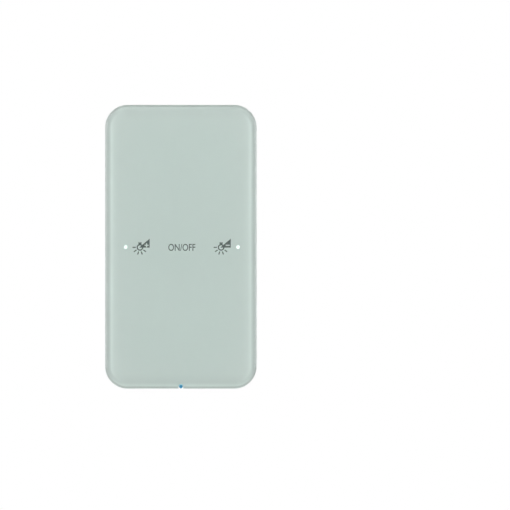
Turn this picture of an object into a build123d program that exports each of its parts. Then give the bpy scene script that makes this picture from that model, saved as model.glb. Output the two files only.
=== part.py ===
from build123d import *
import os

# Glass touch switch for one wall box: a bevelled glass front with its electronics, hung on a steel wall plate.
# Millimetres. Seen from the room, X is to the right and Z is up. Y runs into the wall: the wall's surface is
# at y = 0, and what stands in front of it has a negative y. The origin is midway between the two box screws.

# Glass front
glass_width = 81.4
glass_height = 152.4
glass_thickness = 4.0
glass_corner = 12.0
glass_bevel = 1.05
glass_arris = 0.25
wall_to_glass = 9.0

# Printed film, and the tape that bonds it to the frame
film_thickness = 0.2
film_inset = 0.4
tape_thickness = 0.4
tape_margin = 0.5

# Lights: two status dots in the face, one power dot in a notch of the lower edge
status_inset = 10.5
status_height = -0.15
legend_shift = 0.5
window_diameter = 1.8
status_guide_diameter = 2.6
power_dot_diameter = 2.0
power_dot_edge = 1.05
power_dot_gap = 0.3
power_guide_run = 8.6
power_guide_thickness = 1.2
led_length = 3.2
led_width = 1.6
led_height = 1.1

# Module frame
frame_inset = 1.2
frame_wall = 2.0
frame_back_gap = 0.3
frame_edge_fillet = 0.8
flange_width = 5.2
ledge_width = 1.2

# Sensor board
board_thickness = 1.6
board_gap = 0.3
controller_size = 7.0
controller_height = 1.0
controller_inset = 29.0
chip_length = 1.6
chip_width = 0.8
chip_height = 0.8
chip_pitch = 1.6
chip_count = 8
chip_row_gap = 3.0

# Rear cover
cover_thickness = 1.6
cover_gap = 0.2
rib_width = 1.0
rib_height = 1.5
rib_x = 17.5
rib_inset = 39.0
inner_rib_z = 14.0
rib_end_margin = 9.0
pillar_inset = 13.0
pillar_diameter = 3.0
pillar_gap = 0.1
pocket_width = 10.0
pocket_wall = 1.0
pocket_room = 2.9

# Cover screws, countersunk, into bosses of the frame
cover_screw_diameter = 2.0
cover_screw_head = 3.6
cover_screw_length = 4.6
cover_screw_inset = 13.0
cover_screw_step = 38.0
cover_boss_diameter = 5.2
cover_boss_inset = 3.0

# Wall plate
plate_thickness = 1.2
plate_corner = 5.0
plate_margin = 2.5
plate_to_cover = 0.3
bend_radius = 0.4
bend_relief = 0.8
hook_x = 24.0
hook_inset = 28.0
hook_width = 8.0
hook_root = 2.0
hook_engagement = 3.0
hook_gap = 0.4
tab_width = 12.0
tab_reach = 6.0
tab_root = 3.0

# Fixing holes of the wall plate
box_screw_spacing = 60.0
box_slot_width = 4.2
box_slot_length = 9.0
plug_hole_inset = 15.5
plug_hole_diameter = 4.5

# Lock screw, from below through the frame into the tab of the wall plate
lock_screw_diameter = 2.5
lock_screw_head = 4.6
lock_screw_length = 10.0
lock_screw_depth = 3.6

# Coupler housing, in the wall box
coupler_width = 42.0
coupler_corner = 5.0
coupler_depth = 19.0
coupler_wall = 1.5
coupler_step = 1.2
coupler_edge_fillet = 0.8
centring_ribs = 3
centring_rib_pitch = 12.0
centring_rib_width = 1.2
centring_rib_height = 0.5
centring_rib_lead = 3.0
coupler_ear = 6.0
coupler_flange_corner = 4.0
coupler_opening_gap = 1.5
coupler_board_depth = 4.6
coupler_board_gap = 0.2
snap_width = 5.0
snap_height = 0.8
snap_length = 1.6

# Coupler screws, pan head, into bosses of the rear cover
coupler_screw_diameter = 2.5
coupler_screw_head = 4.6
coupler_screw_head_height = 1.6
coupler_screw_length = 5.0
coupler_screw_inset = 8.0
coupler_boss_diameter = 5.2
coupler_boss_height = 3.4

# Board to board connector
contact_pitch = 2.54
contact_rows = 2
contact_columns = 5
pin_width = 0.64
header_height = 2.5
socket_height = 8.5
socket_hole = 0.9
pin_engagement = 5.5

# Bus terminal in its pocket, and its pins
terminal_width = 5.65
terminal_height = 12.2
terminal_depth = 11.0
terminal_inset = 12.0
terminal_gap = 0.2
terminal_chamfer = 0.4
wire_holes = 4
wire_hole_diameter = 1.5
wire_hole_pitch = 2.6
wire_hole_depth = 4.5
pocket_shell = 1.0
pocket_floor = 1.2
pocket_floor_gap = 1.2
bus_pin_diameter = 1.0
bus_pin_length = 8.6

# Programming button, its switch and its light
button_inset_x = 9.5
button_inset_z = 11.0
button_diameter = 4.0
button_travel = 0.4
button_proud = 0.8
button_hole_gap = 0.15
button_collar = 5.4
button_collar_height = 1.2
button_collar_gap = 0.15
switch_size = 6.0
switch_height = 3.5
switch_plunger_diameter = 3.4
switch_plunger_height = 0.9
programming_led_below = 8.0
programming_led_diameter = 2.9
programming_led_rim = 3.5
programming_led_rim_height = 0.9
programming_led_length = 4.8
programming_led_proud = 0.4
lead_width = 0.5
lead_spacing = 1.27

# Other parts on the coupler board
capacitor_inset_x = 10.0
capacitor_inset_z = 11.0
capacitor_diameter = 8.0
capacitor_gap = 1.3
transceiver_length = 10.3
transceiver_width = 7.5
transceiver_height = 2.4
transceiver_inset = 9.0
choke_size = 5.0
choke_height = 2.8
choke_inset_x = 8.5
choke_inset_z = 19.5
logic_chip_size = 7.0
logic_chip_height = 1.0
logic_chip_inset = 9.0

# Clearances shared by several pieces
screw_gap = 0.1
pass_gap = 0.4

# Depths, worked out from the wall
glass_back = -wall_to_glass
glass_front = glass_back - glass_thickness
film_back = glass_back + film_thickness
frame_front = film_back + tape_thickness
frame_back = -frame_back_gap
board_back = film_back + board_thickness
plate_front = -plate_thickness
cover_back = plate_front - plate_to_cover
cover_front = cover_back - cover_thickness
cavity_back = coupler_depth - coupler_wall
coupler_board_back = coupler_board_depth + board_thickness

# Insets from the edge of the glass
frame_inner = frame_inset + frame_wall
flange_inner = frame_inset + flange_width
ledge_inner = frame_inner + ledge_width
board_inset = flange_inner + board_gap
cover_inset = frame_inner + cover_gap
inner_half_width = glass_width / 2 - frame_inner
inner_half_height = glass_height / 2 - frame_inner

# The module is lifted by this much to clear the hooks
lift = hook_engagement + pass_gap


def mirrored(x, z):
    """The four points at plus and minus x and z."""
    return [(side * x, end * z) for side in (-1, 1) for end in (-1, 1)]


# Places
status_x = glass_width / 2 - status_inset
status_points = [(legend_shift + side * status_x, status_height) for side in (-1, 1)]
power_dot_z = -glass_height / 2 + power_dot_edge
power_guide_top = power_dot_z + power_guide_run
controller_z = inner_half_height - controller_inset
plate_half_width = inner_half_width - plate_margin
plate_top = inner_half_height - plate_margin
plate_bottom = lift - plate_top
box_points = [(side * box_screw_spacing / 2, 0) for side in (-1, 1)]
plug_points = [(0, end * (plate_top - plug_hole_inset)) for end in (-1, 1)]
hook_points = mirrored(hook_x, inner_half_height - hook_inset)
cover_screw_x = inner_half_width - cover_boss_inset
cover_screw_z = inner_half_height - cover_screw_inset
cover_screw_points = mirrored(cover_screw_x, cover_screw_z) + mirrored(cover_screw_x, cover_screw_z - cover_screw_step)
outer_rib_z = inner_half_height - rib_inset
pillar_points = mirrored(rib_x, outer_rib_z) + mirrored(rib_x, inner_half_height - pillar_inset)
contact_points = [
    ((column - (contact_columns - 1) / 2) * contact_pitch, (row - (contact_rows - 1) / 2) * contact_pitch)
    for column in range(contact_columns)
    for row in range(contact_rows)
]
coupler_half = coupler_width / 2
coupler_screw_points = mirrored(coupler_half - coupler_screw_inset, coupler_half + coupler_ear / 2)
terminal_z = terminal_inset - coupler_half
button_x = coupler_half - button_inset_x
button_z = coupler_half - button_inset_z
programming_led_z = button_z - programming_led_below
choke_x = choke_inset_x - coupler_half
choke_z = coupler_half - choke_inset_z
logic_chip_z = coupler_half - logic_chip_inset
capacitor_x = capacitor_inset_x - coupler_half
capacitor_z = coupler_half - capacitor_inset_z
transceiver_z = transceiver_inset - coupler_half


def outline(inset):
    """The outline of the glass, drawn in by an inset."""
    return RectangleRounded(glass_width - 2 * inset, glass_height - 2 * inset, glass_corner - inset)


def slab(drawing, front, back):
    """A front view drawing made solid between two depths."""
    return extrude(Plane.XZ.offset(-back) * drawing, amount=back - front)


def at(points, drawing):
    """One drawing made of copies at several points."""
    return Sketch() + [Pos(x, z) * drawing for x, z in points]


def upright(width, low, high, x=0):
    """A rectangle between two heights."""
    return Pos(x, (low + high) / 2) * Rectangle(width, high - low)


def power_dot_notch():
    """The round-ended notch that the power light guide stands in."""
    radius = power_dot_diameter / 2 + power_dot_gap
    mouth = upright(2 * radius, power_dot_z - 2 * power_dot_edge, power_dot_z)
    return Pos(0, power_dot_z) * Circle(radius) + mouth


def power_guide_bar(gap):
    """The flat run of the power light guide, from the board down to the dot."""
    width = power_dot_diameter + 2 * gap
    return upright(width, power_dot_z, power_guide_top + gap) + Pos(0, power_dot_z) * Circle(width / 2)


def cross_recess(head_diameter, depth):
    """Cross recess cut down from z = 0."""
    arm = head_diameter / 2
    slot = Pos(0, 0, -depth / 2) * Box(arm, arm / 4, depth)
    return slot + Rot(Z=90) * slot


def countersunk_screw(diameter, head_diameter, length):
    """Countersunk screw with its head's face at z = 0 and its point below."""
    head_depth = (head_diameter - diameter) / 2
    head = Pos(0, 0, -head_depth / 2) * Cone(diameter / 2, head_diameter / 2, head_depth)
    shank = Pos(0, 0, -length / 2) * Cylinder(diameter / 2, length)
    return head + shank - cross_recess(head_diameter, head_depth)


def pan_head_screw(diameter, head_diameter, head_height, length):
    """Pan head screw: the head stands above z = 0 and the shank hangs below."""
    head = Pos(0, 0, head_height / 2) * Cylinder(head_diameter / 2, head_height)
    head = fillet(head.edges().sort_by(Axis.Z)[-1], head_height / 2)
    shank = Pos(0, 0, -length / 2) * Cylinder(diameter / 2, length)
    return head + shank - Pos(0, 0, head_height) * cross_recess(head_diameter, head_height * 2 / 3)


def facing_back(x, depth, z):
    """Places a piece that is drawn along +Z so that it looks back into the wall."""
    return Pos(x, depth, z) * Rot(X=-90)


def glass_front_plate():
    glass = slab(outline(0), glass_front, glass_back)
    front_edges = glass.faces().sort_by(Axis.Y)[0].edges()
    glass = chamfer(front_edges, glass_bevel)
    back_edges = glass.faces().sort_by(Axis.Y)[-1].edges()
    glass = chamfer(back_edges, glass_arris)
    return glass - slab(power_dot_notch(), glass_front, glass_back)


def print_film():
    drawing = outline(film_inset) - at(status_points, Circle(window_diameter / 2)) - power_dot_notch()
    return slab(drawing, glass_back, film_back)


def bonding_tape():
    ring = outline(frame_inset + tape_margin) - outline(flange_inner - tape_margin) - power_dot_notch()
    return slab(ring, film_back, frame_front)


def lock_screw_hole():
    """Clearance hole and countersink in the frame's bottom wall."""
    bottom = -glass_height / 2 + frame_inset
    radius = lock_screw_diameter / 2 + screw_gap
    head_radius = lock_screw_head / 2 + screw_gap
    hole = Pos(0, 0, frame_wall / 2) * Cylinder(radius, frame_wall)
    sink = Pos(0, 0, (head_radius - radius) / 2) * Cone(head_radius, radius, head_radius - radius)
    return Pos(0, -lock_screw_depth, bottom) * (hole + sink)


def module_frame():
    frame = slab(outline(frame_inset), frame_front, frame_back)
    frame = fillet(frame.faces().sort_by(Axis.Y)[-1].edges(), frame_edge_fillet)
    frame -= slab(outline(flange_inner), frame_front, board_back)
    frame -= slab(outline(ledge_inner), board_back, cover_front)
    frame -= slab(outline(frame_inner), cover_front, frame_back)
    frame += slab(at(cover_screw_points, Circle(cover_boss_diameter / 2)), board_back, cover_front)
    pilot_radius = cover_screw_diameter / 2 + screw_gap
    pilot_end = cover_back - cover_screw_length - screw_gap
    frame -= slab(at(cover_screw_points, Circle(pilot_radius)), pilot_end, cover_front)
    frame -= slab(power_guide_bar(screw_gap), frame_front, frame_front + power_guide_thickness)
    tab_path = upright(tab_width + 2 * pass_gap, -inner_half_height, -inner_half_height + ledge_width)
    frame -= slab(tab_path, board_back, cover_front)
    return frame - lock_screw_hole()


def sensor_board():
    drawing = outline(board_inset) - at(status_points, Circle(status_guide_diameter / 2 + screw_gap))
    return slab(drawing - power_guide_bar(screw_gap), film_back, board_back)


def status_light_guide(point):
    """Diffuser in the board's hole, behind a window of the print."""
    return slab(at([point], Circle(status_guide_diameter / 2)), film_back, board_back)


def led(x, z):
    """Surface-mounted light that shines forward through the board, with its lens in the middle."""
    package = slab(at([(x, z)], Rectangle(led_length, led_width)), board_back, board_back + led_height)
    return chamfer(package.edges().filter_by(Axis.Y), led_width / 8)


def power_light_guide():
    bar = slab(power_guide_bar(0), frame_front, frame_front + power_guide_thickness)
    rod = slab(Pos(0, power_dot_z) * Circle(power_dot_diameter / 2), glass_front, frame_front)
    return bar + rod


def touch_controller():
    body = at([(0, controller_z)], Rectangle(controller_size, controller_size))
    chip = slab(body, board_back, board_back + controller_height)
    return chamfer(chip.edges().filter_by(Axis.Y), controller_size / 14)


def chip_capacitors():
    """A row of chip capacitors below the touch controller, one for each pair of its channels."""
    row_z = controller_z - controller_size / 2 - chip_row_gap
    row = [((index - (chip_count - 1) / 2) * chip_pitch, row_z) for index in range(chip_count)]
    return slab(at(row, Rectangle(chip_width, chip_length)), board_back, board_back + chip_height)


def header_pins():
    pins_back = board_back + header_height + pin_engagement
    return slab(at(contact_points, Rectangle(pin_width, pin_width)), board_back, pins_back)


def connector_block(front, back):
    """The body that is common to both halves of the connector."""
    width = contact_columns * contact_pitch
    height = contact_rows * contact_pitch
    return slab(RectangleRounded(width, height, contact_pitch / 6), front, back)


def plug_header():
    return connector_block(board_back, board_back + header_height) - header_pins()


def plug_socket():
    block = connector_block(coupler_board_depth - socket_height, coupler_board_depth)
    holes = at(contact_points, Rectangle(socket_hole, socket_hole))
    hole_back = board_back + header_height + pin_engagement + pass_gap
    return block - slab(holes, coupler_board_depth - socket_height, hole_back)


def head_pocket(extra):
    """Drawing of a pocket that a screw head slides in as the module is hung."""
    return Pos(0, -lift / 2) * SlotOverall(pocket_width + lift + 2 * extra, pocket_width + 2 * extra, rotation=90)


def rear_cover():
    pocket_floor_back = plate_front - pocket_room
    pocket_points = box_points + plug_points
    cover = slab(outline(cover_inset), cover_front, cover_back)
    for side in (-1, 1):
        rib = upright(rib_width, -inner_half_height + rib_end_margin, inner_half_height - rib_end_margin, side * rib_x)
        cover += slab(rib, cover_front - rib_height, cover_front)
    for row in (-outer_rib_z, -inner_rib_z, inner_rib_z, outer_rib_z):
        rib = upright(2 * (inner_half_width - rib_end_margin), row - rib_width / 2, row + rib_width / 2)
        cover += slab(rib, cover_front - rib_height, cover_front)
    cover += slab(at(pillar_points, Circle(pillar_diameter / 2)), board_back + pillar_gap, cover_front)
    cover += slab(at(pocket_points, head_pocket(pocket_wall)), pocket_floor_back - pocket_wall, cover_front)
    cover += slab(
        at(coupler_screw_points, Circle(coupler_boss_diameter / 2)), cover_front - coupler_boss_height, cover_front
    )
    cover -= slab(at(pocket_points, head_pocket(0)), pocket_floor_back, cover_back)
    window_height = plate_thickness + lift + pass_gap
    window = upright(hook_width + 2 * bend_relief, -window_height, 0)
    cover -= slab(at(hook_points, window), cover_front, cover_back)
    notch_top = plate_bottom + tab_root
    cover -= slab(upright(tab_width + 2 * pass_gap, -glass_height / 2, notch_top), cover_front, cover_back)
    slot = Rectangle(
        contact_columns * contact_pitch + 2 * pass_gap, contact_rows * contact_pitch + 2 * pass_gap
    )
    cover -= slab(slot, cover_front - rib_height, cover_back)
    pilot_radius = coupler_screw_diameter / 2 + screw_gap
    pilot_end = -coupler_screw_length - screw_gap
    cover -= slab(at(coupler_screw_points, Circle(pilot_radius)), pilot_end, cover_back)
    for x, z in cover_screw_points:
        cover -= facing_back(x, cover_back, z) * screw_sink()
    return cover


def screw_sink():
    """Countersunk hole for a cover screw, with its mouth at z = 0."""
    radius = cover_screw_diameter / 2 + screw_gap
    head_radius = cover_screw_head / 2 + screw_gap
    hole = Pos(0, 0, -cover_thickness / 2) * Cylinder(radius, cover_thickness)
    return hole + Pos(0, 0, (radius - head_radius) / 2) * Cone(radius, head_radius, head_radius - radius)


def cover_screws():
    screw = countersunk_screw(cover_screw_diameter, cover_screw_head, cover_screw_length)
    return Part() + [facing_back(x, cover_back, z) * screw for x, z in cover_screw_points]


def bent_strip(corners, width, x=0):
    """A bent strip of the plate. Each corner is (depth, height, bend radius), seen along X."""
    points = [(depth, height) for depth, height, _ in corners]
    radii = [radius for _, _, radius in corners]
    section = make_face(Plane.YZ * FilletPolyline(*points, radius=radii, close=True))
    return Pos(x, 0, 0) * extrude(section, amount=width / 2, both=True)


def wall_plate():
    outer_bend = bend_radius + plate_thickness
    finger_back = cover_front - hook_gap
    finger_front = finger_back - plate_thickness
    plate_shape = Pos(0, (plate_top + plate_bottom) / 2) * RectangleRounded(
        2 * plate_half_width, plate_top - plate_bottom, plate_corner
    )
    opening_top = coupler_half + coupler_ear + lift + pass_gap
    opening_bottom = -coupler_half - coupler_ear - pass_gap
    opening_width = coupler_width + 2 * coupler_opening_gap
    opening = Pos(0, (opening_top + opening_bottom) / 2) * RectangleRounded(
        opening_width, opening_top - opening_bottom, coupler_flange_corner
    )
    hook_blank = hook_root + plate_thickness + hook_engagement - finger_front
    hook_window = upright(hook_width + 2 * bend_relief, -hook_root - plate_thickness, hook_blank - hook_root)
    tab_relief = upright(tab_width + 2 * bend_relief, plate_bottom, plate_bottom + tab_root)
    drawing = plate_shape - opening - tab_relief
    drawing -= at(hook_points, hook_window)
    drawing -= at(box_points, SlotOverall(box_slot_length, box_slot_width))
    drawing -= at(plug_points, Circle(plug_hole_diameter / 2))
    plate = slab(drawing, plate_front, 0)
    for x, seat in hook_points:
        root = seat - plate_thickness
        plate += bent_strip(
            [
                (0, root - hook_root, 0),
                (0, seat, outer_bend),
                (finger_back, seat, bend_radius),
                (finger_back, seat + hook_engagement, 0),
                (finger_front, seat + hook_engagement, 0),
                (finger_front, root, outer_bend),
                (plate_front, root, bend_radius),
                (plate_front, root - hook_root, 0),
            ],
            hook_width,
            x,
        )
    plate += bent_strip(
        [
            (0, plate_bottom + tab_root, 0),
            (0, plate_bottom, outer_bend),
            (-tab_reach, plate_bottom, 0),
            (-tab_reach, plate_bottom + plate_thickness, 0),
            (plate_front, plate_bottom + plate_thickness, bend_radius),
            (plate_front, plate_bottom + tab_root, 0),
        ],
        tab_width,
    )
    tab_hole = Cylinder(lock_screw_diameter / 2 + screw_gap, 3 * plate_thickness)
    return plate - Pos(0, -lock_screw_depth, plate_bottom) * tab_hole


def lock_screw():
    screw = countersunk_screw(lock_screw_diameter, lock_screw_head, lock_screw_length)
    return Pos(0, -lock_screw_depth, -glass_height / 2 + frame_inset) * Rot(X=180) * screw


def coupler_outline(inset):
    size = coupler_width - 2 * inset
    return RectangleRounded(size, size, coupler_corner - inset)


def terminal_pocket(extra):
    """Drawing of the pocket round both halves of the bus terminal."""
    width = 2 * (terminal_width + terminal_gap + extra)
    return Pos(0, terminal_z) * Rectangle(width, terminal_height + 2 * (terminal_gap + extra))


def snap_lug(side):
    """Wedge on the inside wall that holds the coupler board down."""
    wall = coupler_half - coupler_wall
    back = coupler_board_depth
    tip = back - snap_length
    section = Plane.XY * Polyline((wall, tip), (wall - snap_height, back), (wall, back), close=True)
    lug = extrude(make_face(section), amount=snap_width / 2, both=True)
    return lug if side > 0 else mirror(lug, about=Plane.YZ)


def centring_rib(offset):
    """Rib on the cup's right side that centres it in the wall box, with a ramp towards the back."""
    wall = coupler_half
    top = wall + centring_rib_height
    back = coupler_depth - coupler_edge_fillet
    section = Plane.XY * Polyline(
        (wall - coupler_wall / 2, 0),
        (top, 0),
        (top, back - centring_rib_lead),
        (wall, back),
        (wall - coupler_wall / 2, back),
        close=True,
    )
    return Pos(0, 0, offset) * extrude(make_face(section), amount=centring_rib_width / 2, both=True)


def coupler_housing():
    flange_height = coupler_width + 2 * coupler_ear
    flange = slab(RectangleRounded(coupler_width, flange_height, coupler_flange_corner), cover_back, 0)
    cup = slab(coupler_outline(0), cover_back, coupler_depth)
    cup = fillet(cup.faces().sort_by(Axis.Y)[-1].edges(), coupler_edge_fillet)
    housing = flange + cup
    housing -= slab(coupler_outline(coupler_wall), cover_back, coupler_board_back)
    housing -= slab(coupler_outline(coupler_wall + coupler_step), coupler_board_back, cavity_back)
    pocket_front = coupler_board_back + pocket_floor_gap
    housing += slab(terminal_pocket(pocket_shell), pocket_front, cavity_back)
    housing -= slab(terminal_pocket(0), pocket_front + pocket_floor, coupler_depth)
    housing -= slab(at(bus_pin_points(), Circle(bus_pin_diameter / 2 + screw_gap)), pocket_front, cavity_back)
    housing += [snap_lug(side) for side in (-1, 1)]
    for rib in range(centring_ribs):
        offset = (rib - (centring_ribs - 1) / 2) * centring_rib_pitch
        housing += [centring_rib(offset), mirror(centring_rib(offset), about=Plane.YZ)]
    button_hole = Pos(button_x, button_z) * Circle(button_diameter / 2 + button_hole_gap)
    led_hole = Pos(button_x, programming_led_z) * Circle(programming_led_diameter / 2 + button_hole_gap)
    housing -= slab(button_hole + led_hole, cavity_back, coupler_depth)
    screw_holes = at(coupler_screw_points, Circle(coupler_screw_diameter / 2 + screw_gap))
    return housing - slab(screw_holes, cover_back, 0)


def coupler_screws():
    screw = pan_head_screw(
        coupler_screw_diameter, coupler_screw_head, coupler_screw_head_height, coupler_screw_length
    )
    return Part() + [facing_back(x, 0, z) * screw for x, z in coupler_screw_points]


def coupler_board():
    drawing = coupler_outline(coupler_wall + coupler_board_gap)
    return slab(drawing, coupler_board_depth, coupler_board_back)


def bus_pin_points():
    return [(side * (terminal_width + terminal_gap) / 2, terminal_z) for side in (-1, 1)]


def bus_pins():
    circles = at(bus_pin_points(), Circle(bus_pin_diameter / 2))
    return slab(circles, coupler_board_back, coupler_board_back + bus_pin_length)


def bus_terminal(side):
    """One half of the bus terminal: a pin socket in front and a column of wire holes at the back."""
    front = coupler_board_back + pocket_floor_gap + pocket_floor
    back = front + terminal_depth
    x = side * (terminal_width + terminal_gap) / 2
    block = slab(Pos(x, terminal_z) * Rectangle(terminal_width, terminal_height), front, back)
    block = chamfer(block.faces().sort_by(Axis.Y)[-1].edges(), terminal_chamfer)
    rows = [terminal_z + (row - (wire_holes - 1) / 2) * wire_hole_pitch for row in range(wire_holes)]
    block -= slab(at([(x, row) for row in rows], Circle(wire_hole_diameter / 2)), back - wire_hole_depth, back)
    pin_hole = Pos(x, terminal_z) * Circle(bus_pin_diameter / 2 + screw_gap)
    return block - slab(pin_hole, front, coupler_board_back + bus_pin_length + screw_gap)


def programming_switch():
    body = slab(
        Pos(button_x, button_z) * RectangleRounded(switch_size, switch_size, switch_size / 12),
        coupler_board_back,
        coupler_board_back + switch_height,
    )
    plunger = Pos(button_x, button_z) * Circle(switch_plunger_diameter / 2)
    top = coupler_board_back + switch_height
    return body + slab(plunger, top, top + switch_plunger_height)


def programming_button():
    """Long-stemmed button: its collar stays behind the rear wall, its end stands over the switch."""
    front = coupler_board_back + switch_height + switch_plunger_height + button_travel + button_collar_gap
    back = coupler_depth + button_proud
    center = Pos(button_x, button_z)
    stem = slab(center * Circle(button_diameter / 2), front, back)
    stem = fillet(stem.faces().sort_by(Axis.Y)[-1].edges(), button_proud / 2)
    collar_back = cavity_back - button_collar_gap
    return stem + slab(center * Circle(button_collar / 2), collar_back - button_collar_height, collar_back)


def programming_led():
    """Round light whose dome fills its hole in the rear wall, on two leads from the board."""
    radius = programming_led_diameter / 2
    dome_center = coupler_depth + programming_led_proud - radius
    base = coupler_depth + programming_led_proud - programming_led_length
    center = Pos(button_x, programming_led_z)
    light = slab(center * Circle(radius), base, dome_center)
    light += Pos(button_x, dome_center, programming_led_z) * Sphere(radius)
    light += slab(center * Circle(programming_led_rim / 2), base, base + programming_led_rim_height)
    leads = [(button_x + side * lead_spacing, programming_led_z) for side in (-0.5, 0.5)]
    return light + slab(at(leads, Rectangle(lead_width, lead_width)), coupler_board_back, base)


def buffer_capacitor():
    can = slab(
        Pos(capacitor_x, capacitor_z) * Circle(capacitor_diameter / 2),
        coupler_board_back,
        cavity_back - capacitor_gap,
    )
    return fillet(can.faces().sort_by(Axis.Y)[-1].edges(), capacitor_diameter / 16)


def supply_choke():
    """Shielded coil of the bus supply: a square core with a round lid."""
    base_back = coupler_board_back + choke_height * 2 / 3
    place = Pos(choke_x, choke_z)
    core = slab(place * RectangleRounded(choke_size, choke_size, choke_size / 8), coupler_board_back, base_back)
    return core + slab(place * Circle(choke_size * 0.45), base_back, coupler_board_back + choke_height)


def logic_chip():
    body = Pos(0, logic_chip_z) * Rectangle(logic_chip_size, logic_chip_size)
    chip = slab(body, coupler_board_depth - logic_chip_height, coupler_board_depth)
    return chamfer(chip.edges().filter_by(Axis.Y), logic_chip_size / 14)


def bus_transceiver():
    body = slab(
        Pos(0, transceiver_z) * Rectangle(transceiver_length, transceiver_width),
        coupler_board_depth - transceiver_height,
        coupler_board_depth,
    )
    return chamfer(body.faces().sort_by(Axis.Y)[0].edges(), transceiver_height / 8)


pieces = {
    "glass_front": glass_front_plate(),
    "print_film": print_film(),
    "bonding_tape": bonding_tape(),
    "module_frame": module_frame(),
    "sensor_board": sensor_board(),
    "left_light_guide": status_light_guide(status_points[0]),
    "right_light_guide": status_light_guide(status_points[1]),
    "power_light_guide": power_light_guide(),
    "left_status_led": led(*status_points[0]),
    "right_status_led": led(*status_points[1]),
    "power_led": led(0, power_guide_top - led_width / 2),
    "touch_controller": touch_controller(),
    "chip_capacitors": chip_capacitors(),
    "plug_header": plug_header(),
    "header_pins": header_pins(),
    "rear_cover": rear_cover(),
    "cover_screws": cover_screws(),
    "wall_plate": wall_plate(),
    "lock_screw": lock_screw(),
    "coupler_housing": coupler_housing(),
    "coupler_screws": coupler_screws(),
    "coupler_board": coupler_board(),
    "plug_socket": plug_socket(),
    "bus_transceiver": bus_transceiver(),
    "logic_chip": logic_chip(),
    "supply_choke": supply_choke(),
    "buffer_capacitor": buffer_capacitor(),
    "bus_pins": bus_pins(),
    "bus_terminal_red": bus_terminal(-1),
    "bus_terminal_grey": bus_terminal(1),
    "programming_switch": programming_switch(),
    "programming_button": programming_button(),
    "programming_led": programming_led(),
}

os.makedirs("parts", exist_ok=True)
for name, piece in pieces.items():
    export_step(piece, f"parts/{name}.step")
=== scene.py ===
import math

import bmesh
import bpy
from mathutils import Matrix, Vector


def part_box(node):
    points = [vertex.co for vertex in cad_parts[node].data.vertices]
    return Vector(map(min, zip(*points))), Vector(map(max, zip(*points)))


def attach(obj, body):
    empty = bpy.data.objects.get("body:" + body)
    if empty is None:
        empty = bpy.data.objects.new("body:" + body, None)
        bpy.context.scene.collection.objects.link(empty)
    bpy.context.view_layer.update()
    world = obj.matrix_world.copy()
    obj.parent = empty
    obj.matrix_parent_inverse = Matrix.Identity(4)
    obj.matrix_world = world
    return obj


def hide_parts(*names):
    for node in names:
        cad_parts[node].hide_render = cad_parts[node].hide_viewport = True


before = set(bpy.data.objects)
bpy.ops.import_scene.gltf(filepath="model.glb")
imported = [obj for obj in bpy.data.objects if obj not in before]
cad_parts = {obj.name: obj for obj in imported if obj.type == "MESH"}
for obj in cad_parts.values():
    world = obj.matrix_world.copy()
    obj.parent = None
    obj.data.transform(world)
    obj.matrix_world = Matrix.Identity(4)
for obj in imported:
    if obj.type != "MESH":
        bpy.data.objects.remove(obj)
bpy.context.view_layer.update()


# Camera
# The photograph looks square on at the face from far off. Its scale and its middle follow from the edges of
# the glass in it, which are given here in pixels of its 510 by 510 frame.
photo_size = 510
photo_left = 105.2
photo_right = 256.6
photo_top = 104.95
photo_bottom = 388.57
camera_distance = 0.6


def put(name, data):
    """Puts a new object in the scene."""
    added = bpy.data.objects.new(name, data)
    bpy.context.scene.collection.objects.link(added)
    return added


plate_low, plate_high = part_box("glass_front")
metres_per_pixel = (plate_high.z - plate_low.z) / (photo_bottom - photo_top)
square_view = bpy.data.cameras.new("camera")
square_view.type = "ORTHO"
square_view.ortho_scale = photo_size * metres_per_pixel
camera = put("camera", square_view)
camera.location = (
    (photo_size - photo_left - photo_right) / 2 * metres_per_pixel,
    -camera_distance,
    (photo_top + photo_bottom - photo_size) / 2 * metres_per_pixel,
)
camera.rotation_euler = (math.radians(90), 0, 0)
bpy.context.scene.camera = camera
bpy.context.scene.view_settings.view_transform = "Standard"


# Studio
# A floor of pale paper under the switch, with softboxes in front, beside, behind and overhead. The world is
# plain white where it is seen, mirrored or looked at through glass, and dimmer where it only lights.
floor_drop = 0.12
floor_size = 8.0
floor_tone = (0.68, 0.68, 0.67, 1)
floor_shade = (0.65, 0.65, 0.64, 1)
floor_patches = 3.0
ambient_strength = 0.48
softbox_distance = 2.2
softbox_size = 1.2


def node(tree, kind, inputs=None, **settings):
    """Adds a node to a tree. Each of its inputs is given a plain value or the output of another node."""
    added = tree.nodes.new(kind)
    for name, value in settings.items():
        setattr(added, name, value)
    for name, value in (inputs or {}).items():
        if isinstance(value, bpy.types.NodeSocket):
            tree.links.new(value, added.inputs[name])
        else:
            added.inputs[name].default_value = value
    return added


def calc(tree, operation, *values):
    """A sum in a node tree, on numbers or on the outputs of other nodes."""
    return node(tree, "ShaderNodeMath", dict(enumerate(values)), operation=operation).outputs[0]


def blend(tree, amount, first, second, mode="MIX"):
    """A colour made of two others, each of them a colour or the output of another node."""
    inputs = {0: amount, 6: first, 7: second}
    return node(tree, "ShaderNodeMix", inputs, data_type="RGBA", blend_type=mode).outputs[2]


def node_group(name, inputs, outputs):
    """A new node group. Its inputs and outputs are given as a name and a kind each."""
    group = bpy.data.node_groups.new(name, "ShaderNodeTree")
    for in_out, sockets in (("INPUT", inputs), ("OUTPUT", outputs)):
        for socket, kind in sockets.items():
            group.interface.new_socket(socket, in_out=in_out, socket_type="NodeSocket" + kind)
    return group


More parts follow.
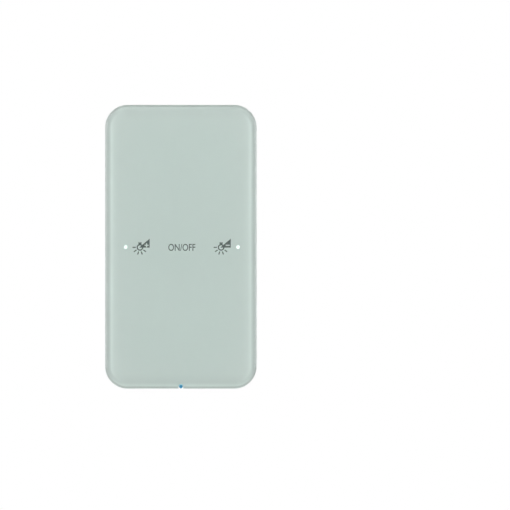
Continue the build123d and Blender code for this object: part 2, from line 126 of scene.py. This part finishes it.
def mottle_group():
    """A colour that drifts in patches between a tone and a shade."""
    inputs = {"Patches": "Float", "Detail": "Float", "Tone": "Color", "Shade": "Color"}
    group = node_group("mottle", inputs, {"Color": "Color"})
    given = node(group, "NodeGroupInput").outputs
    patches = node(group, "ShaderNodeTexNoise", {"Scale": given["Patches"], "Detail": given["Detail"]})
    color = blend(group, patches.outputs[0], given["Tone"], given["Shade"])
    node(group, "NodeGroupOutput", {"Color": color})
    return group


mottle = mottle_group()


def mottled(tree, patches, tone, shade, detail=2.0):
    """Places the mottle in a material and returns its colour."""
    inputs = {"Patches": patches, "Detail": detail, "Tone": tone, "Shade": shade}
    return node(tree, "ShaderNodeGroup", inputs, node_tree=mottle).outputs["Color"]


def surface(name, **values):
    """A new material, with its node tree and its shader."""
    material = bpy.data.materials.new(name)
    material.use_nodes = True
    shader = material.node_tree.nodes["Principled BSDF"]
    for socket, value in values.items():
        shader.inputs[socket.replace("_", " ")].default_value = value
    return material, material.node_tree, shader


def softbox(name, azimuth, elevation, power, seen_through_glass=True):
    """A square lamp that looks at the switch. Azimuth 0 is straight in front of it."""
    lamp = bpy.data.lights.new(name, "AREA")
    lamp.size = softbox_size
    lamp.energy = power
    box = put(name, lamp)
    turn = math.radians(azimuth)
    rise = math.radians(elevation)
    away = Vector((math.sin(turn) * math.cos(rise), -math.cos(turn) * math.cos(rise), math.sin(rise)))
    box.location = softbox_distance * away
    box.rotation_euler = away.to_track_quat("Z", "Y").to_euler()
    box.visible_camera = False
    box.visible_transmission = seen_through_glass


softbox("left_front_softbox", azimuth=-40, elevation=20, power=22)
softbox("right_front_softbox", azimuth=40, elevation=20, power=22)
softbox("left_side_softbox", azimuth=-90, elevation=0, power=7, seen_through_glass=False)
softbox("right_side_softbox", azimuth=90, elevation=0, power=7, seen_through_glass=False)
softbox("left_rear_softbox", azimuth=-140, elevation=30, power=14, seen_through_glass=False)
softbox("right_rear_softbox", azimuth=140, elevation=30, power=14, seen_through_glass=False)
softbox("overhead_softbox", azimuth=0, elevation=55, power=7)

world = bpy.data.worlds.new("studio")
bpy.context.scene.world = world
world.use_nodes = True
sky = world.node_tree
path = node(sky, "ShaderNodeLightPath").outputs
mirrored = calc(sky, "MAXIMUM", path["Is Glossy Ray"], path["Is Transmission Ray"])
seen = calc(sky, "MAXIMUM", path["Is Camera Ray"], mirrored)
before_lighting = calc(sky, "LESS_THAN", path["Diffuse Depth"], 1)
shown_white = calc(sky, "MULTIPLY", seen, before_lighting)
strength = node(sky, "ShaderNodeMapRange", {"Value": shown_white, "To Min": ambient_strength, "To Max": 1})
sky.links.new(strength.outputs["Result"], sky.nodes["Background"].inputs["Strength"])
sky.nodes["Background"].inputs["Color"].default_value = (1, 1, 1, 1)

floor_mesh = bpy.data.meshes.new("floor")
floor_half = floor_size / 2
floor_level = plate_low.z - floor_drop
floor_corners = [(x, y, floor_level) for x, y in (
    (-floor_half, -floor_half),
    (floor_half, -floor_half),
    (floor_half, floor_half),
    (-floor_half, floor_half),
)]
floor_mesh.from_pydata(floor_corners, [], [(0, 1, 2, 3)])
floor_paper, paper_tree, paper_shader = surface("floor_paper", Roughness=0.9, Specular_IOR_Level=0.1)
paper_color = mottled(paper_tree, floor_patches, floor_tone, floor_shade)
paper_tree.links.new(paper_color, paper_shader.inputs["Base Color"])
floor_mesh.materials.append(floor_paper)
put("floor", floor_mesh)


# Front glass
# A plate of clear float glass, cut to a rounded outline, with a polished bevel round its face and a notch
# for the power light in its lower edge. Iron in it makes it greener the further one looks through it.

# Lengths are in millimetres from here on.
mm = 0.001
corner_radius = 12.0
corner_steps = 32
bevel = 1.05
back_arris = 0.25
polish_radius = 0.12
polish_steps = 4
notch_radius = 1.3
notch_height = 1.05
notch_steps = 24
weld_distance = 0.0001
flat_face_weight = 100
smallest_square = 0.001
glass_index = 1.52
glass_tint = (1, 1, 1, 1)
glass_tint_deep = (0.985, 0.995, 0.99, 1)
glass_patches = 30.0
glass_depth_tint = (0.30, 0.66, 0.55, 1)
glass_density = 16.0
painted_side_bevel_shade = (1, 0.95, 0.975, 1)
painted_end_bevel_shade = (0.64, 0.64, 0.635, 1)
painted_notch_glow = (0.62, 0.85, 1.0, 1)
painted_glow_reach = 1.45

glass_low = plate_low / mm
glass_high = plate_high / mm
notch_z = glass_low.z + notch_height


def arc(x, z, radius, start, end, steps):
    """Points of an arc, in degrees from the X axis."""
    angles = [math.radians(start + (end - start) * step / steps) for step in range(steps + 1)]
    return [(x + radius * math.cos(angle), z + radius * math.sin(angle)) for angle in angles]


def glass_outline(inset):
    """The outline of the glass, drawn in by an inset, from the right side of its notch to the left."""
    corner_x = glass_high.x - corner_radius
    corner_z = glass_high.z - corner_radius
    mouth = glass_low.z + inset
    lean = math.degrees(math.asin(max(0, mouth - notch_z) / notch_radius))
    mouth_x = notch_radius * math.cos(math.radians(lean))
    points = [(mouth_x, mouth)]
    for side, end, start in ((1, -1, 270), (1, 1, 0), (-1, 1, 90), (-1, -1, 180)):
        center = (side * corner_x, end * corner_z)
        points += arc(*center, corner_radius - inset, start, start + 90, corner_steps)
    points.append((-mouth_x, mouth))
    return points + arc(0, notch_z, notch_radius, 180 - lean, lean, notch_steps)


def polished(profile):
    """A profile of (inset, depth) points with each inner corner rounded off."""
    rounded = []
    for before, corner, after in zip(profile, profile[1:], profile[2:]):
        start = corner + (before - corner).normalized() * polish_radius
        end = corner + (after - corner).normalized() * polish_radius
        for step in range(polish_steps + 1):
            along = step / polish_steps
            rounded.append(start.lerp(corner, along).lerp(corner.lerp(end, along), along))
    return rounded


def skinned(name, rings):
    """A closed mesh over a row of like rings, each a list of (x, z) points and a depth."""
    shell = bmesh.new()
    loops = [[shell.verts.new((x, depth, z)) for x, z in points] for points, depth in rings]
    for loop, following in zip(loops, loops[1:]):
        for index in range(len(loop)):
            shell.faces.new((loop[index - 1], loop[index], following[index], following[index - 1]))
    shell.faces.new(loops[0])
    shell.faces.new(reversed(loops[-1]))
    bmesh.ops.remove_doubles(shell, verts=shell.verts, dist=weld_distance)
    bmesh.ops.recalc_face_normals(shell, faces=shell.faces)
    for face in shell.faces:
        face.smooth = True
    mesh = bpy.data.meshes.new(name)
    shell.to_mesh(mesh)
    shell.free()
    return mesh


def place(name, mesh, material):
    """Puts a piece drawn in millimetres in the scene, as part of the switch's fixed body."""
    mesh.transform(Matrix.Scale(mm, 4))
    mesh.materials.clear()
    mesh.materials.append(material)
    piece = put(name, mesh)
    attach(piece, "switch")
    return piece


def edge_group():
    """How far a point is from the edge of the glass and from the middle of its notch, and how much the
    nearest edge faces sideways."""
    group = node_group("glass_edge", {}, {"Distance": "Float", "Sideways": "Float", "From Notch": "Float"})
    spot = node(group, "ShaderNodeTexCoord").outputs["Object"]
    split = node(group, "ShaderNodeSeparateXYZ", {"Vector": spot}).outputs
    x, z = [calc(group, "MULTIPLY", split[axis], 1 / mm) for axis in ("X", "Z")]
    squares = []
    for offset, half in ((x, glass_high.x), (z, glass_high.z)):
        past_corner = calc(group, "SUBTRACT", calc(group, "ABSOLUTE", offset), half - corner_radius)
        past_corner = calc(group, "MAXIMUM", past_corner, 0)
        squares.append(calc(group, "MULTIPLY", past_corner, past_corner))
    total = calc(group, "ADD", *squares)
    never_nothing = calc(group, "MAXIMUM", total, smallest_square)
    below = calc(group, "SUBTRACT", z, notch_z)
    notch_square = calc(group, "ADD", calc(group, "MULTIPLY", x, x), calc(group, "MULTIPLY", below, below))
    outputs = {
        "Distance": calc(group, "SUBTRACT", corner_radius, calc(group, "SQRT", total)),
        "Sideways": calc(group, "DIVIDE", squares[0], never_nothing),
        "From Notch": calc(group, "SQRT", notch_square),
    }
    node(group, "NodeGroupOutput", outputs)
    return group


glass_edge = edge_group()
clear_glass, glass_tree, glass_shader = surface(
    "clear_glass", Roughness=0.0, IOR=glass_index, Transmission_Weight=1.0
)
edge = node(glass_tree, "ShaderNodeGroup", node_tree=glass_edge).outputs
glass_color = mottled(glass_tree, glass_patches, glass_tint, glass_tint_deep)
# Painted shade: the glass on the bevel is tinted dark on the top and bottom edges, where less light falls,
# and a touch less green on the sides.
on_bevel = calc(glass_tree, "LESS_THAN", edge["Distance"], bevel)
painted_bevel_shade_color = blend(glass_tree, edge["Sideways"], painted_end_bevel_shade, painted_side_bevel_shade)
glass_color = blend(glass_tree, on_bevel, glass_color, painted_bevel_shade_color)
# Painted light: the glass round the notch is tinted blue, as if lit by the power light.
notch_glow_mask = calc(glass_tree, "LESS_THAN", edge["From Notch"], painted_glow_reach)
glass_color = blend(glass_tree, notch_glow_mask, glass_color, painted_notch_glow)
glass_tree.links.new(glass_color, glass_shader.inputs["Base Color"])
glass_body = node(glass_tree, "ShaderNodeVolumeAbsorption", {
    "Color": glass_depth_tint,
    "Density": glass_density,
})
glass_tree.links.new(glass_body.outputs["Volume"], glass_tree.nodes["Material Output"].inputs["Volume"])

glass_profile = polished([
    Vector((2 * bevel, glass_low.y)),
    Vector((bevel, glass_low.y)),
    Vector((0, glass_low.y + bevel)),
    Vector((0, glass_high.y - back_arris)),
    Vector((back_arris, glass_high.y)),
    Vector((2 * bevel, glass_high.y)),
])
glass_rings = [(glass_outline(inset), depth) for inset, depth in glass_profile]
front_glass = place("front_glass", skinned("front_glass", glass_rings), clear_glass)
flat_faces = front_glass.modifiers.new("flat_faces", "WEIGHTED_NORMAL")
flat_faces.weight = flat_face_weight
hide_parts("glass_front")


# Printed film
# A pale coat on the back of the glass, with clear windows for the two status lights. The bevel throws bands
# of shade and light on it. These are painted into the coat's colour, given as pairs of a distance from the
# glass's edge and a brightness.
film_inset = 0.4
window_radius = 0.85
window_steps = 48
coat_tone = (0.90, 0.97, 0.943, 1)
coat_shade = (0.885, 0.955, 0.928, 1)
coat_patches = 18.0
edge_reach = 8.0
side_edge_light = (
    (0, 0.82),
    (1.7, 0.77),
    (2.2, 0.81),
    (2.8, 0.87),
    (3.3, 0.96),
    (3.9, 0.93),
    (5.0, 0.89),
    (8.0, 0.87),
)
end_edge_light = (
    (0, 0.88),
    (1.4, 0.95),
    (1.8, 0.95),
    (2.3, 0.88),
    (2.8, 0.85),
    (3.4, 0.83),
    (8.0, 0.87),
)

# Coat and glass touch without air between them, so the coat's face is drawn a hair inside the glass.
film_contact = 0.03
film_low, film_high = [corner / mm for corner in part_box("print_film")]
film_front = film_low.y - film_contact
stood_up = Matrix.Rotation(math.radians(90), 4, "X")


def circle(x, z, radius, steps):
    """Points of a closed circle."""
    return arc(x, z, radius, 0, 360, steps)[:-1]


def cut_sheet(name, sheets, front, back):
    """A thin mesh between two depths. Each sheet is a list of closed loops, and an inner loop is a hole."""
    joined = bmesh.new()
    for loops in sheets:
        drawing = bpy.data.curves.new(name, "CURVE")
        drawing.dimensions = "2D"
        drawing.fill_mode = "BOTH"
        drawing.extrude = (back - front) / 2
        for loop in loops:
            spline = drawing.splines.new("POLY")
            spline.points.add(len(loop) - 1)
            for point, (x, z) in zip(spline.points, loop):
                point.co = (x, z, 0, 1)
            spline.use_cyclic_u = True
        sheet = bpy.data.objects.new(name, drawing)
        joined.from_mesh(bpy.data.meshes.new_from_object(sheet))
        bpy.data.objects.remove(sheet)
    mesh = bpy.data.meshes.new(name)
    joined.to_mesh(mesh)
    joined.free()
    mesh.transform(Matrix.Translation((0, (front + back) / 2, 0)) @ stood_up)
    return mesh


def edge_brightness(tree, distance, stops):
    """Brightness by the distance from the edge of the glass, from stops of (millimetres, brightness)."""
    ramp = node(tree, "ShaderNodeValToRGB", {0: calc(tree, "DIVIDE", distance, edge_reach)})
    points = ramp.color_ramp.elements
    points.remove(points[1])
    for index, (millimetres, brightness) in enumerate(stops):
        point = points.new(millimetres / edge_reach) if index else points[0]
        point.color = (brightness, brightness, brightness, 1)
    return ramp.outputs[0]


printed_coat, coat_tree, coat_shader = surface("printed_coat", Roughness=0.6, Specular_IOR_Level=0.0)
edge = node(coat_tree, "ShaderNodeGroup", node_tree=glass_edge).outputs
# Painted shade and light: bands by the distance from the glass's edge, multiplied into the coat's colour.
side_light = edge_brightness(coat_tree, edge["Distance"], side_edge_light)
end_light = edge_brightness(coat_tree, edge["Distance"], end_edge_light)
edge_light = blend(coat_tree, edge["Sideways"], end_light, side_light)
coat_color = mottled(coat_tree, coat_patches, coat_tone, coat_shade, detail=3.0)
lit_coat = blend(coat_tree, 1.0, coat_color, edge_light, mode="MULTIPLY")
coat_tree.links.new(lit_coat, coat_shader.inputs["Base Color"])

film_loops = [glass_outline(film_inset)]
for guide in ("left_light_guide", "right_light_guide"):
    guide_low, guide_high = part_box(guide)
    center = (guide_low + guide_high) / 2 / mm
    film_loops.append(circle(center.x, center.z, window_radius, window_steps))
coat_mesh = cut_sheet("printed_coat", [film_loops], film_front, film_high.y)
coat = place("printed_coat", coat_mesh, printed_coat)
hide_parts("print_film")


# Print
# Symbols and letters, screen printed in dark grey on the glass before its pale coat. Each symbol is a lamp
# with a ramp, the common sign for dimming, and its plus or minus is left out of the ramp.
print_tone = (0.13, 0.16, 0.15, 1)
print_shade = (0.11, 0.14, 0.13, 1)
print_patches = 900.0
print_lift = 0.01
print_depth = 0.005
print_z = -0.35
symbols_middle = -0.2
symbol_reach = 21.8
ring_outer = 1.78
ring_inner = 1.13
ring_steps = 40
ray_start = 2.3
ray_end = 4.0
ray_half_width = 0.3
ray_angles = (180, 216, 252, 288, 324)
cap_low = 1.6
cap_high = 2.85
cap_half_width = 0.8
cap_notch_half_width = 0.22
cap_notch_depth = 0.4
ramp_left = -0.5
ramp_right = 5.2
ramp_foot = -0.1
ramp_top = 4.7
sign_x = 3.55
sign_z = 1.15
sign_half_width = 1.1
sign_half_stroke = 0.3
lettering = "ON/OFF"
lettering_x = 0.5
lettering_size = 5.0
lettering_weight = 0.05
lettering_width = 14.5
lettering_height = 3.76


def moved(points, x, z):
    """Points moved across the drawing."""
    return [(x + point_x, z + point_z) for point_x, point_z in points]


def turned(points, angle):
    """Points turned about the middle of the drawing, in degrees."""
    cosine = math.cos(math.radians(angle))
    sine = math.sin(math.radians(angle))
    return [(cosine * x - sine * z, sine * x + cosine * z) for x, z in points]


def rectangle(left, right, low, high):
    """Corners of a rectangle."""
    return [(left, low), (right, low), (right, high), (left, high)]


def sign(plus):
    """Outline of a minus, or of a plus whose foot is cut off just above the foot of the ramp."""
    left = sign_x - sign_half_width
    right = sign_x + sign_half_width
    low = sign_z - sign_half_stroke
    high = sign_z + sign_half_stroke
    if not plus:
        return rectangle(left, right, low, high)
    upright_left = sign_x - sign_half_stroke
    upright_right = sign_x + sign_half_stroke
    upright_low = ramp_foot + sign_half_stroke / 2
    upright_high = sign_z + sign_half_width
    lower_edge = [
        (left, low),
        (upright_left, low),
        (upright_left, upright_low),
        (upright_right, upright_low),
        (upright_right, low),
        (right, low),
    ]
    upper_edge = [
        (right, high),
        (upright_right, high),
        (upright_right, upright_high),
        (upright_left, upright_high),
        (upright_left, high),
        (left, high),
    ]
    return lower_edge + upper_edge


def dimmer_symbol(plus):
    """Sheets of a hanging lamp with rays, and its ramp with a plus or a minus left out."""
    ring = [circle(0, 0, radius, ring_steps) for radius in (ring_outer, ring_inner)]
    ray = rectangle(ray_start, ray_end, -ray_half_width, ray_half_width)
    rays = [[turned(ray, angle)] for angle in ray_angles]
    cap = [
        (-cap_half_width, cap_low),
        (cap_half_width, cap_low),
        (cap_half_width, cap_high),
        (cap_notch_half_width, cap_high),
        (cap_notch_half_width, cap_high - cap_notch_depth),
        (-cap_notch_half_width, cap_high - cap_notch_depth),
        (-cap_notch_half_width, cap_high),
        (-cap_half_width, cap_high),
    ]
    ramp = [(ramp_left, ramp_foot), (ramp_right, ramp_foot), (ramp_right, ramp_top)]
    return [ring, *rays, [cap], [ramp, sign(plus)]]


dark_print, print_tree, print_shader = surface("dark_print", Roughness=0.5, Specular_IOR_Level=0.0)
print_color = mottled(print_tree, print_patches, print_tone, print_shade, detail=3.0)
print_tree.links.new(print_color, print_shader.inputs["Base Color"])

print_back = film_front - print_lift
for name, side, plus in (("brighter_symbol", -1, True), ("dimmer_symbol", 1, False)):
    symbol_x = symbols_middle + side * symbol_reach
    sheets = [[moved(loop, symbol_x, print_z) for loop in loops] for loops in dimmer_symbol(plus)]
    place(name, cut_sheet(name, sheets, print_back - print_depth, print_back), dark_print)

letters = bpy.data.curves.new("lettering", "FONT")
letters.body = lettering
letters.size = lettering_size
letters.offset = lettering_weight
letters.extrude = print_depth / 2
written = bpy.data.objects.new("lettering", letters)
lettering_mesh = bpy.data.meshes.new_from_object(written)
bpy.data.objects.remove(written)
corners = [vertex.co for vertex in lettering_mesh.vertices]
letters_low = Vector([min(corner[axis] for corner in corners) for axis in range(3)])
letters_high = Vector([max(corner[axis] for corner in corners) for axis in range(3)])
letters_size = letters_high - letters_low
centred = Matrix.Translation(-(letters_low + letters_high) / 2)
fitted = Matrix.Diagonal((lettering_width / letters_size.x, lettering_height / letters_size.y, 1, 1))
in_place = Matrix.Translation((lettering_x, print_back - print_depth / 2, print_z))
lettering_mesh.transform(in_place @ stood_up @ fitted @ centred)
place("on_off_lettering", lettering_mesh, dark_print)


# Status lights
# Two milky diffusers stand in holes of the circuit board, right behind the film's windows, each lit from
# behind by a white light that is soldered to the board. They show in the face as round white discs.
diffuser_tone = (0.88, 0.95, 0.92, 1)
diffuser_shade = (0.93, 0.97, 0.95, 1)
diffuser_patches = 800.0
diffuser_glow = (0.82, 1.0, 0.93, 1)
diffuser_strength = 0.85
package_tone = (0.85, 0.85, 0.82, 1)
package_shade = (0.78, 0.78, 0.75, 1)
package_patches = 2000.0
package_middle = 0.5
lens_tone = (0.85, 0.72, 0.25, 1)
lens_radius = 0.22


def dress(material, *names):
    """Gives CAD nodes their material."""
    for name in names:
        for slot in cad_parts[name].material_slots:
            slot.material = material


milky_diffuser, milky_tree, milky_shader = surface(
    "milky_diffuser", Roughness=0.35, Emission_Color=diffuser_glow, Emission_Strength=diffuser_strength
)
milky_color = mottled(milky_tree, diffuser_patches, diffuser_tone, diffuser_shade)
milky_tree.links.new(milky_color, milky_shader.inputs["Base Color"])
dress(milky_diffuser, "left_light_guide", "right_light_guide")

light_package, package_tree, package_shader = surface("light_package", Roughness=0.3)
package_spot = node(package_tree, "ShaderNodeTexCoord").outputs["Generated"]
package_split = node(package_tree, "ShaderNodeSeparateXYZ", {"Vector": package_spot}).outputs
package_squares = []
for axis in ("X", "Z"):
    from_middle = calc(package_tree, "SUBTRACT", package_split[axis], package_middle)
    package_squares.append(calc(package_tree, "MULTIPLY", from_middle, from_middle))
lens_distance = calc(package_tree, "SQRT", calc(package_tree, "ADD", *package_squares))
in_lens = calc(package_tree, "LESS_THAN", lens_distance, lens_radius)
package_white = mottled(package_tree, package_patches, package_tone, package_shade)
package_color = blend(package_tree, in_lens, package_white, lens_tone)
package_tree.links.new(package_color, package_shader.inputs["Base Color"])
dress(light_package, "left_status_led", "right_status_led", "power_led")


# Power light
# A clear blue guide takes the light of a third lamp down to the notch in the glass. Its end shows as a blue
# dot with a paler rim, because more light leaves it by its side than straight out of its end.
dot_blue = (0.012, 0.125, 0.225, 1)
dot_rim_blue = (0.36, 0.58, 0.63, 1)
dot_core_radius = 0.84
dot_rim_radius = 1.0
dot_strength = 0.5

blue_guide, blue_tree, blue_shader = surface("blue_guide", Roughness=0.2, Emission_Strength=dot_strength)
edge = node(blue_tree, "ShaderNodeGroup", node_tree=glass_edge).outputs
to_rim = node(blue_tree, "ShaderNodeMapRange", {
    "Value": edge["From Notch"],
    "From Min": dot_core_radius,
    "From Max": dot_rim_radius,
})
blue_glow = blend(blue_tree, to_rim.outputs["Result"], dot_blue, dot_rim_blue)
blue_tree.links.new(blue_glow, blue_shader.inputs["Emission Color"])
blue_tree.links.new(blue_glow, blue_shader.inputs["Base Color"])
dress(blue_guide, "power_light_guide")


# Tape, frame and rear cover
# Foam tape bonds the glass to a light grey frame, moulded in one piece with a fine spark-eroded texture.
# The rear cover is moulded in the same plastic, and eight countersunk screws hold it in the frame.
frame_tone = (0.58, 0.59, 0.58, 1)
frame_shade = (0.52, 0.53, 0.52, 1)
cover_tone = (0.53, 0.54, 0.53, 1)
cover_shade = (0.47, 0.48, 0.47, 1)
tape_tone = (0.80, 0.80, 0.78, 1)
tape_shade = (0.70, 0.70, 0.68, 1)
mould_grain = 2600.0
mould_depth = 0.04 * mm
foam_cells = 1800.0
grain_detail = 3.0
grain_roughness = 0.6
cloud_scale = 35.0
cloud_detail = 4.0
fleck_contrast = 2.0
grain_strength = 0.6
dullness_drift = 0.15


def grain_group():
    """Fine grain as a height, and slow clouds, both fixed to the piece."""
    inputs = {"Grain Scale": "Float", "Stretch": "Vector"}
    group = node_group("moulded_grain", inputs, {"Grain": "Float", "Cloud": "Float"})
    given = node(group, "NodeGroupInput").outputs
    spot = node(group, "ShaderNodeTexCoord").outputs["Object"]
    stretched = node(group, "ShaderNodeVectorMath", {0: spot, 1: given["Stretch"]}, operation="MULTIPLY")
    fine = node(group, "ShaderNodeTexNoise", {
        "Vector": stretched.outputs[0],
        "Scale": given["Grain Scale"],
        "Detail": grain_detail,
        "Roughness": grain_roughness,
    })
    slow = node(group, "ShaderNodeTexNoise", {"Vector": spot, "Scale": cloud_scale, "Detail": cloud_detail})
    node(group, "NodeGroupOutput", {"Grain": fine.outputs[0], "Cloud": slow.outputs[0]})
    return group


moulded_grain = grain_group()


def grained(name, tone, shade, grain, depth, roughness, stretch=(1, 1, 1), **values):
    """A material with a fine grain, whose tone and dullness drift over the piece."""
    material, tree, shader = surface(name, **values)
    inputs = {"Grain Scale": grain, "Stretch": stretch}
    look = node(tree, "ShaderNodeGroup", inputs, node_tree=moulded_grain).outputs
    fleck = calc(tree, "MULTIPLY", look["Grain"], look["Cloud"])
    color = blend(tree, calc(tree, "MULTIPLY", fleck, fleck_contrast), tone, shade)
    dullness = node(tree, "ShaderNodeMapRange", {
        "Value": look["Cloud"],
        "To Min": roughness * (1 - dullness_drift),
        "To Max": roughness * (1 + dullness_drift),
    })
    relief = node(tree, "ShaderNodeBump", {
        "Strength": grain_strength,
        "Distance": depth,
        "Height": look["Grain"],
    })
    tree.links.new(color, shader.inputs["Base Color"])
    tree.links.new(dullness.outputs["Result"], shader.inputs["Roughness"])
    tree.links.new(relief.outputs["Normal"], shader.inputs["Normal"])
    return material


frame_plastic = grained("frame_plastic", frame_tone, frame_shade, mould_grain, mould_depth, roughness=0.5)
dress(frame_plastic, "module_frame")
cover_plastic = grained("cover_plastic", cover_tone, cover_shade, mould_grain, mould_depth, roughness=0.55)
dress(cover_plastic, "rear_cover")
foam_tape = grained("foam_tape", tape_tone, tape_shade, foam_cells, mould_depth, roughness=0.85)
dress(foam_tape, "bonding_tape")


# Circuit boards and what is soldered to them
# Both boards are glass fibre laminate under green solder mask, with their copper in paler lines. The chips
# on them are moulded black resin, and their connector is black plastic with gold plated pins.
mask_green = (0.03, 0.16, 0.07, 1)
track_green = (0.07, 0.27, 0.12, 1)
track_scale = 260.0
track_width = 0.06
track_length = 0.9
track_pitch = 0.3
track_depth = 0.03 * mm
track_strength = 0.5
resin_black = (0.018, 0.018, 0.02, 1)
resin_grey = (0.035, 0.035, 0.038, 1)
resin_depth = 0.02 * mm
ceramic_tone = (0.36, 0.24, 0.13, 1)
ceramic_shade = (0.30, 0.19, 0.10, 1)
gold_tone = (0.78, 0.56, 0.20, 1)
gold_shade = (0.70, 0.49, 0.17, 1)
ferrite_tone = (0.05, 0.05, 0.055, 1)
ferrite_shade = (0.035, 0.035, 0.04, 1)
tin_tone = (0.72, 0.72, 0.70, 1)
tin_shade = (0.62, 0.62, 0.61, 1)
can_tone = (0.66, 0.67, 0.70, 1)
can_shade = (0.58, 0.59, 0.62, 1)
smooth_depth = 0.01 * mm

board_mask, board_tree, board_shader = surface("board_mask", Roughness=0.3)
board_spot = node(board_tree, "ShaderNodeTexCoord").outputs["Object"]
laid_flat = node(board_tree, "ShaderNodeMapping", {
    "Vector": board_spot,
    "Rotation": (math.radians(90), 0, 0),
})
tracks = node(board_tree, "ShaderNodeTexBrick", {
    "Vector": laid_flat.outputs[0],
    "Scale": track_scale,
    "Mortar Size": track_width,
    "Brick Width": track_length,
    "Row Height": track_pitch,
    "Color1": (0, 0, 0, 1),
    "Color2": (0, 0, 0, 1),
    "Mortar": (1, 1, 1, 1),
}).outputs["Color"]
raised = node(board_tree, "ShaderNodeBump", {
    "Strength": track_strength,
    "Distance": track_depth,
    "Height": tracks,
})
board_color = blend(board_tree, tracks, mask_green, track_green)
board_tree.links.new(board_color, board_shader.inputs["Base Color"])
board_tree.links.new(raised.outputs["Normal"], board_shader.inputs["Normal"])
dress(board_mask, "sensor_board", "coupler_board")


def metal_finish(name, tone, shade, grain, roughness):
    """A smooth metal finish."""
    return grained(name, tone, shade, grain, smooth_depth, roughness, Metallic=1.0)


chip_resin = grained("chip_resin", resin_black, resin_grey, grain=5000, depth=resin_depth, roughness=0.5)
dress(chip_resin, "touch_controller", "logic_chip", "bus_transceiver")
ceramic = grained(
    "chip_ceramic", ceramic_tone, ceramic_shade, grain=6000, depth=smooth_depth, roughness=0.4
)
dress(ceramic, "chip_capacitors")
connector = grained(
    "connector_plastic", resin_grey, resin_black, grain=3000, depth=resin_depth, roughness=0.4
)
dress(connector, "plug_header", "plug_socket")
gold = metal_finish("gold_plate", gold_tone, gold_shade, grain=4000, roughness=0.25)
dress(gold, "header_pins")
ferrite = grained(
    "choke_ferrite", ferrite_tone, ferrite_shade, grain=4000, depth=resin_depth, roughness=0.6
)
dress(ferrite, "supply_choke")
tin = metal_finish("tin_plate", tin_tone, tin_shade, grain=3000, roughness=0.3)
dress(tin, "bus_pins")
can = metal_finish("capacitor_can", can_tone, can_shade, grain=2500, roughness=0.35)
dress(can, "buffer_capacitor")


# Wall plate and screws
# The plate is punched and bent from zinc plated sheet steel, with fine rolling lines across it and a cloudy
# plating. The screws are turned steel with the same plating, a little shinier.
zinc_tone = (0.36, 0.38, 0.40, 1)
zinc_shade = (0.56, 0.57, 0.56, 1)
sheet_depth = 0.03 * mm
rolling_stretch = (0.04, 1, 1)

zinc_sheet = grained(
    "zinc_sheet",
    zinc_tone,
    zinc_shade,
    grain=2200,
    depth=sheet_depth,
    roughness=0.38,
    stretch=rolling_stretch,
    Metallic=1.0,
)
dress(zinc_sheet, "wall_plate")
zinc_screw = metal_finish("zinc_screw", zinc_shade, zinc_tone, grain=3000, roughness=0.3)
dress(zinc_screw, "lock_screw", "cover_screws", "coupler_screws")


# Coupler
# A dark grey cup, moulded with ribs that centre it in the wall box, holds the bus electronics. The halves
# of the terminal plug into its back, and beside them are a white programming button and its red light.
housing_tone = (0.065, 0.068, 0.072, 1)
housing_shade = (0.05, 0.052, 0.056, 1)
red_tone = (0.50, 0.018, 0.014, 1)
red_shade = (0.42, 0.014, 0.011, 1)
grey_tone = (0.028, 0.028, 0.03, 1)
grey_shade = (0.02, 0.02, 0.022, 1)
button_tone = (0.74, 0.74, 0.71, 1)
button_shade = (0.68, 0.68, 0.65, 1)
lens_red = (0.55, 0.02, 0.015, 1)
lens_deep_red = (0.40, 0.012, 0.01, 1)
gloss_grain = 3000

housing = grained("housing_plastic", housing_tone, housing_shade, mould_grain, mould_depth, roughness=0.5)
dress(housing, "coupler_housing")
for name, tone, shade, piece in (
    ("terminal_red", red_tone, red_shade, "bus_terminal_red"),
    ("terminal_grey", grey_tone, grey_shade, "bus_terminal_grey"),
    ("button_plastic", button_tone, button_shade, "programming_button"),
):
    dress(grained(name, tone, shade, gloss_grain, smooth_depth, roughness=0.3), piece)
switch_plastic = grained(
    "switch_plastic", resin_grey, resin_black, gloss_grain, resin_depth, roughness=0.45
)
dress(switch_plastic, "programming_switch")
red_lens = grained(
    "red_lens",
    lens_red,
    lens_deep_red,
    grain=1500,
    depth=smooth_depth,
    roughness=0.12,
    Transmission_Weight=0.5,
    IOR=1.5,
)
dress(red_lens, "programming_led")
